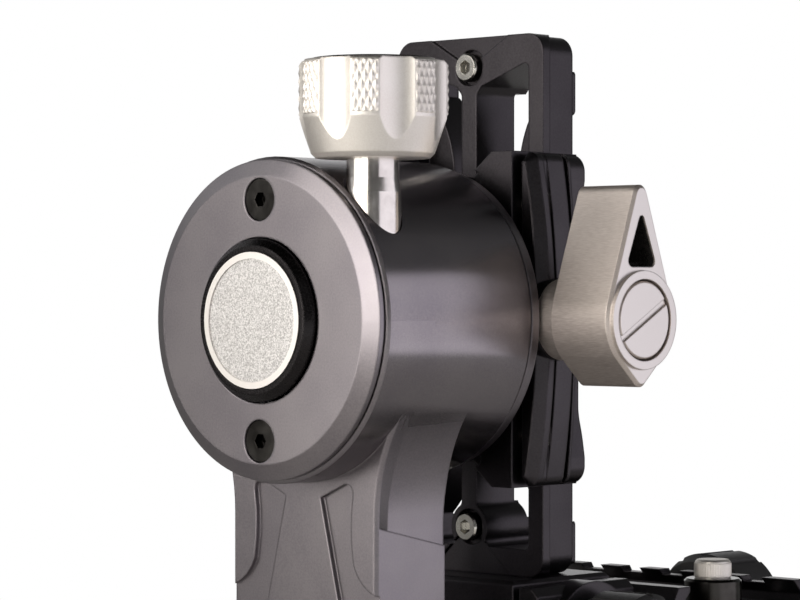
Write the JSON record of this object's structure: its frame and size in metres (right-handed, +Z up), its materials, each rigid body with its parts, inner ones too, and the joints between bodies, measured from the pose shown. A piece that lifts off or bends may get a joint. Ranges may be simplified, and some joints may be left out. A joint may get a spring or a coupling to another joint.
{
  "type": "gimbal tripod head",
  "caption": "Gimbal tripod head: an L-shaped arm pans on a round base and carries a tilting, height-adjustable plate with a sliding lens clamp; lobed lock knobs brake both axes.",
  "frame": {"origin": "centre of the base's mounting face, on the pan axis, where the tripod screw enters", "axes": "+Z up along the pan axis; +X from the arm to the lens clamp, along the tilt axis; -Y to the wing knob and the lower clamp's knob"},
  "size_m": [0.1451, 0.0794, 0.2142],
  "materials": {
    "black_anodised": "fine sandblasted black anodising",
    "satin_silver": "satin champagne silver anodising, knurled on the grips",
    "polished_steel": "polished stainless steel",
    "black_oxide": "black oxide on steel",
    "bright_steel": "bright plated steel",
    "bearing_steel": "ground bearing steel, oiled",
    "seal_rubber": "black nitrile rubber",
    "collar_alloy": "plain machined aluminium",
    "dark_insert": "smooth dark insert in the knob's end",
    "black_plastic": "moulded black nylon",
    "level_liquid": "yellow-green spirit level vial"
  },
  "bodies": {
    "base": {"pan_base": "black_anodised", "tripod_socket_bush": "bright_steel", "pan_bearing_inner_races": "bearing_steel", "pan_inner_spacer": "bright_steel", "pan_spindle_nut": "bright_steel"},
    "arm": {"arm": "black_anodised", "tilt_cover": "black_anodised", "tilt_cover_screws": "black_oxide", "pan_cover": "black_anodised", "pan_cover_screws": "black_oxide", "bubble_level": "satin_silver", "bubble_level_vial": "level_liquid", "tilt_bearing_outer_races": "bearing_steel", "tilt_bearing_seals": "seal_rubber", "tilt_outer_spacer": "bright_steel", "tilt_snap_ring": "bright_steel", "tilt_brake_collar": "collar_alloy", "pan_bearing_outer_races": "bearing_steel", "pan_bearing_seals": "seal_rubber", "pan_outer_spacer": "bright_steel", "pan_snap_ring": "bright_steel", "pan_brake_collar": "collar_alloy"},
    "tilt_lock": {"tilt_lock_knob": "satin_silver", "tilt_lock_knob_insert": "dark_insert", "tilt_lock_shaft": "polished_steel"},
    "pan_lock": {"pan_lock_knob": "satin_silver", "pan_lock_knob_insert": "dark_insert", "pan_lock_shaft": "polished_steel"},
    "swing": {"tilt_spindle": "black_anodised", "hub_end_cap": "black_anodised", "hub_disc": "satin_silver", "hub_screw": "black_oxide", "swing_clamp_body": "black_anodised", "swing_clamp_mount_screws": "black_oxide", "tilt_bearing_inner_races": "bearing_steel", "tilt_inner_spacer": "bright_steel", "tilt_spindle_nut": "bright_steel"},
    "swing_jaw": {"swing_clamp_jaw": "black_anodised", "swing_clamp_guide_pins": "bright_steel"},
    "wing": {"wing_knob": "satin_silver", "wing_knob_cap_screw": "satin_silver", "wing_knob_stud": "bright_steel"},
    "plate": {"swing_plate": "black_anodised", "plate_stop_screws": "bright_steel", "lower_clamp_body": "black_anodised", "platform_screws": "black_oxide"},
    "lower_jaw": {"lower_clamp_jaw": "black_anodised", "lower_clamp_guide_pins": "bright_steel"},
    "lower_knob": {"lower_clamp_knob": "black_plastic", "lower_clamp_stud": "bright_steel"},
    "platform": {"cross_rail": "black_anodised", "cross_rail_screws": "black_oxide", "lens_clamp_body": "black_anodised", "lens_stop_screw": "satin_silver", "lens_stop_collar": "black_oxide"},
    "lens_jaw": {"lens_clamp_jaw": "black_anodised", "lens_clamp_guide_pins": "bright_steel"},
    "lens_knob": {"lens_clamp_knob": "black_plastic", "lens_clamp_stud": "bright_steel"}
  },
  "joints": [
    {"name": "pan_turn", "type": "hinge", "parent": "base", "child": "arm", "pos_m": [0, 0, 0], "axis": [0, 0, 1], "continuous": true},
    {"name": "tilt_turn", "type": "hinge", "parent": "arm", "child": "swing", "pos_m": [0, 0, 0.16], "axis": [1, 0, 0], "continuous": true},
    {"name": "tilt_lock_turn", "type": "hinge", "parent": "arm", "child": "tilt_lock", "pos_m": [-0.0917, -0.02005, 0.16], "axis": [0, 0, 1], "range_deg": [0, 540]},
    {"name": "pan_lock_turn", "type": "hinge", "parent": "arm", "child": "pan_lock", "pos_m": [-0.02005, 0, 0.0447], "axis": [0, -1, 0], "range_deg": [0, 540]},
    {"name": "swing_jaw_slide", "type": "slide", "parent": "swing", "child": "swing_jaw", "axis": [0, -1, 0], "range_m": [0, 0.003]},
    {"name": "wing_knob_turn", "type": "hinge", "parent": "swing_jaw", "child": "wing", "pos_m": [-0.049, 0, 0.16], "axis": [0, -1, 0], "range_deg": [0, 1080]},
    {"name": "plate_slide", "type": "slide", "parent": "swing", "child": "plate", "axis": [0, 0, 1], "range_m": [-0.02, 0.0118]},
    {"name": "lower_jaw_slide", "type": "slide", "parent": "plate", "child": "lower_jaw", "axis": [0, -1, 0], "range_m": [0, 0.003]},
    {"name": "lower_knob_turn", "type": "hinge", "parent": "lower_jaw", "child": "lower_knob", "pos_m": [-0.0387, 0, 0.0991], "axis": [0, -1, 0], "range_deg": [0, 1080]},
    {"name": "platform_slide", "type": "slide", "parent": "plate", "child": "platform", "axis": [1, 0, 0], "range_m": [0, 0.015]},
    {"name": "lens_jaw_slide", "type": "slide", "parent": "platform", "child": "lens_jaw", "axis": [1, 0, 0], "range_m": [0, 0.003]},
    {"name": "lens_knob_turn", "type": "hinge", "parent": "lens_jaw", "child": "lens_knob", "pos_m": [0, 0, 0.0981], "axis": [1, 0, 0], "range_deg": [0, 1080]}
  ],
  "couplings": [
    {"joint": "wing_knob_turn", "follows": "swing_jaw_slide", "rad_per_m": 6283},
    {"joint": "lower_knob_turn", "follows": "lower_jaw_slide", "rad_per_m": 6283},
    {"joint": "lens_knob_turn", "follows": "lens_jaw_slide", "rad_per_m": 6283}
  ]
}
